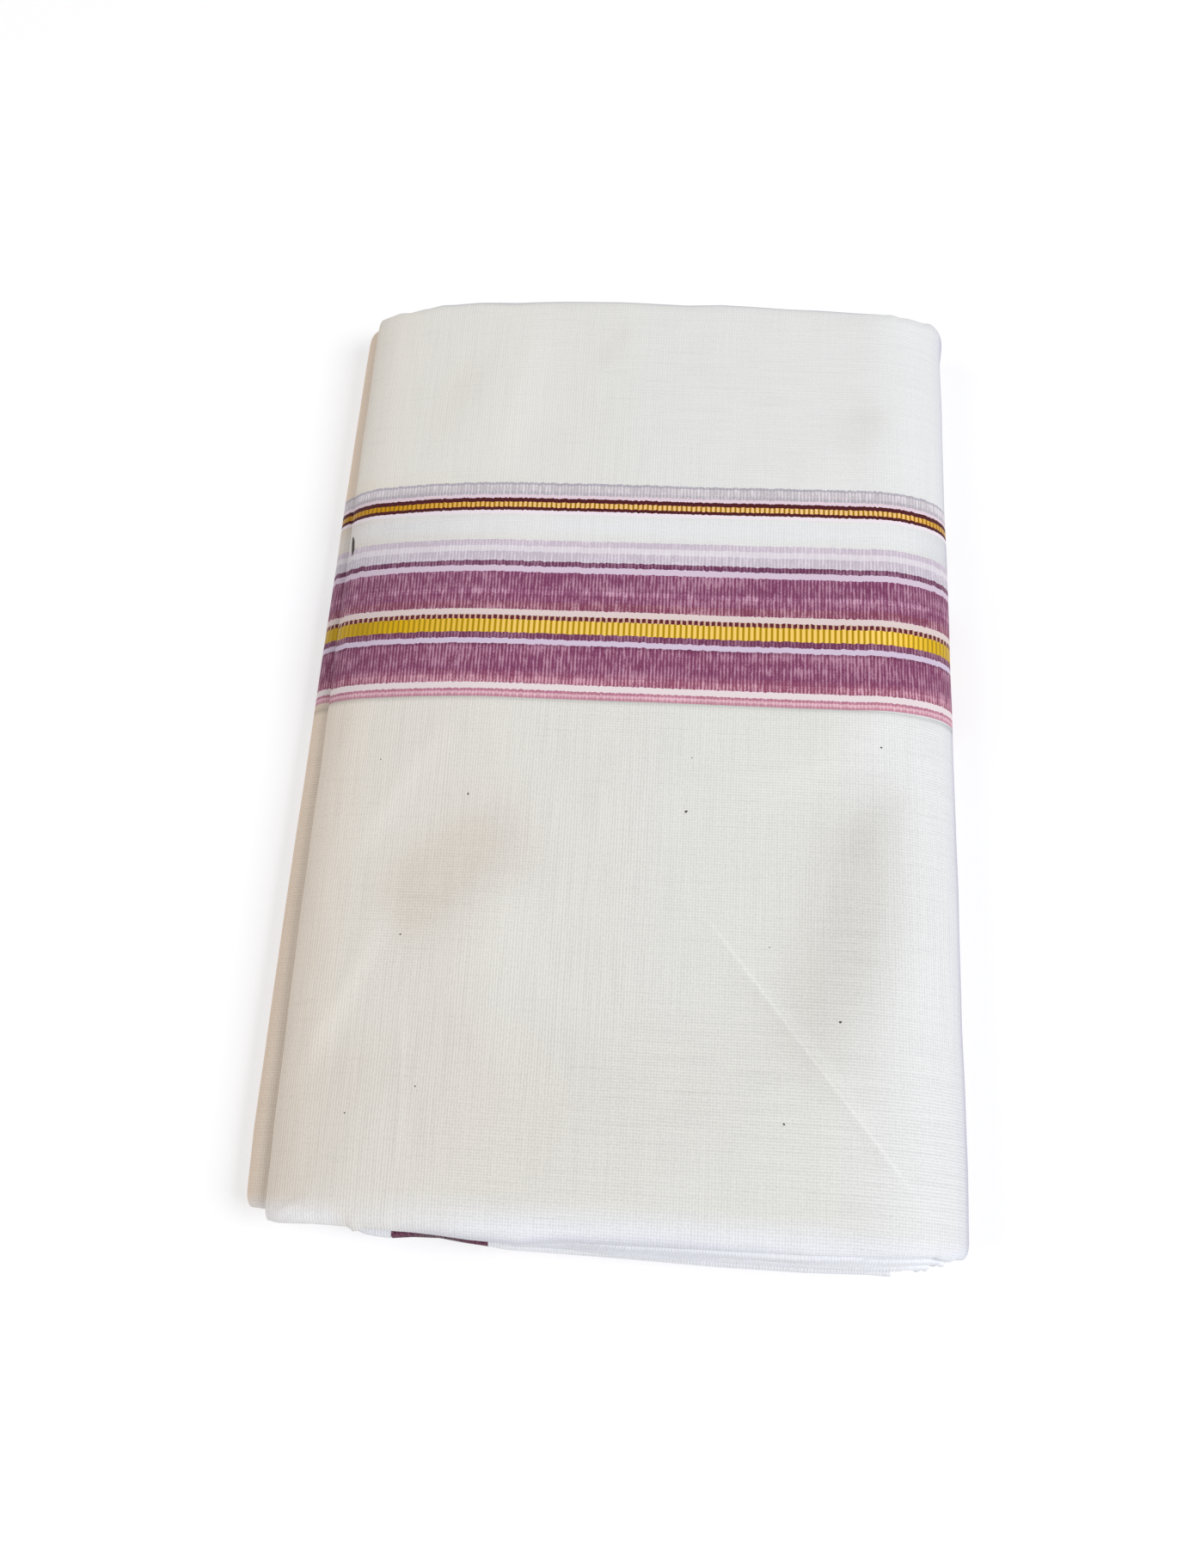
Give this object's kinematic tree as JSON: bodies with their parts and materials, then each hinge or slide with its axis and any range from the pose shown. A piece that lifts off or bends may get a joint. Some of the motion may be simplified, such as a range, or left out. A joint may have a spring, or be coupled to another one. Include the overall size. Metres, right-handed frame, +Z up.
{
  "type": "folded dhoti",
  "caption": "Cotton dhoti folded into a flat rectangular packet, with a woven purple and gold border across its upper flap, a round fold on the right and a slit along its left side.",
  "frame": {"origin": "middle of the packet's flat underside, at the middle of the bounding box", "axes": "+Z up through the folded layers, +Y along the packet towards the far fold, next to the bordered flap, +X across it towards the round fold"},
  "size_m": [0.2096, 0.3202, 0.0295],
  "materials": {
    "bordered_cotton": "fine woven cotton with purple and gold border stripes",
    "plain_cotton": "fine woven unbleached cotton",
    "inner_cotton": "fine woven cotton, folded edges",
    "cross_band_cotton": "fine woven cotton with a dense maroon cross band"
  },
  "bodies": {
    "root": {"bordered_flap": "bordered_cotton", "plain_flap": "plain_cotton", "hidden_layers": "inner_cotton", "banded_layer": "cross_band_cotton"}
  },
  "joints": []
}
